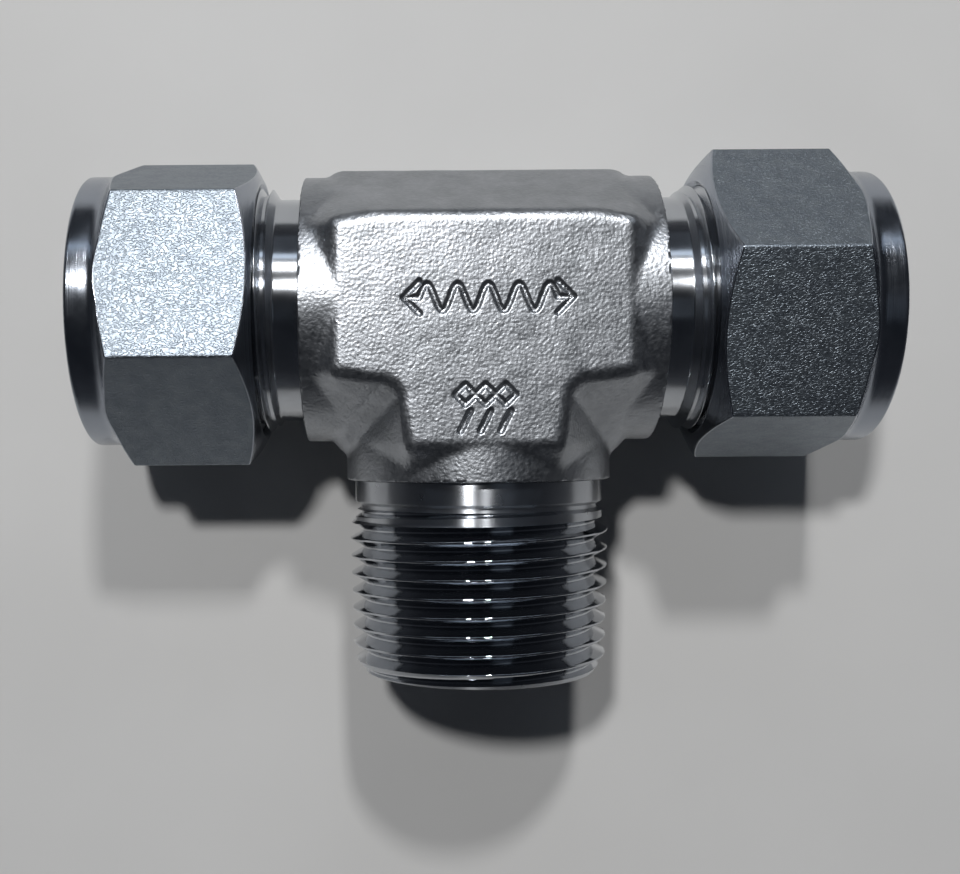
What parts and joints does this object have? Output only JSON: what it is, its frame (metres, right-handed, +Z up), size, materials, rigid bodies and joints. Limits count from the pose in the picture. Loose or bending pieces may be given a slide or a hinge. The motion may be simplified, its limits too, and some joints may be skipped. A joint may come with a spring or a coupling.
{
  "type": "tube fitting tee",
  "caption": "Male branch tee: a forged body with a nut and ferrules for tube at each run end and a male taper pipe thread on the branch.",
  "frame": {"origin": "where the axes of the run and the branch cross", "axes": "+X along the run to the right-hand port, -Y along the branch, +Z up with the tee lying on its side"},
  "size_m": [0.0801, 0.0539, 0.0318],
  "materials": {
    "forged": "satin forged stainless steel with a fine pebbled skin",
    "nut": "satin stainless steel bar, turned at both ends",
    "turned": "bright turned stainless steel, as on the ferrules"
  },
  "bodies": {
    "body": {"tee_body": "forged"},
    "ferrules_left": {"front_ferrule_left": "turned", "back_ferrule_left": "turned"},
    "nut_left": {"nut_left": "nut"},
    "ferrules_right": {"front_ferrule_right": "turned", "back_ferrule_right": "turned"},
    "nut_right": {"nut_right": "nut"}
  },
  "joints": [
    {"name": "nut_left_travel", "type": "slide", "parent": "body", "child": "ferrules_left", "axis": [-1, 0, 0], "range_m": [0, 0.0089]},
    {"name": "nut_left_turn", "type": "hinge", "parent": "ferrules_left", "child": "nut_left", "pos_m": [-0.03, 0, 0], "axis": [-1, 0, 0], "range_deg": [0, 2520]},
    {"name": "nut_right_travel", "type": "slide", "parent": "body", "child": "ferrules_right", "axis": [1, 0, 0], "range_m": [0, 0.0089]},
    {"name": "nut_right_turn", "type": "hinge", "parent": "ferrules_right", "child": "nut_right", "pos_m": [0.03, 0, 0], "axis": [1, 0, 0], "range_deg": [0, 2520]}
  ],
  "couplings": [
    {"joint": "nut_left_travel", "follows": "nut_left_turn", "m_per_rad": 0.00020213},
    {"joint": "nut_right_travel", "follows": "nut_right_turn", "m_per_rad": 0.00020213}
  ]
}
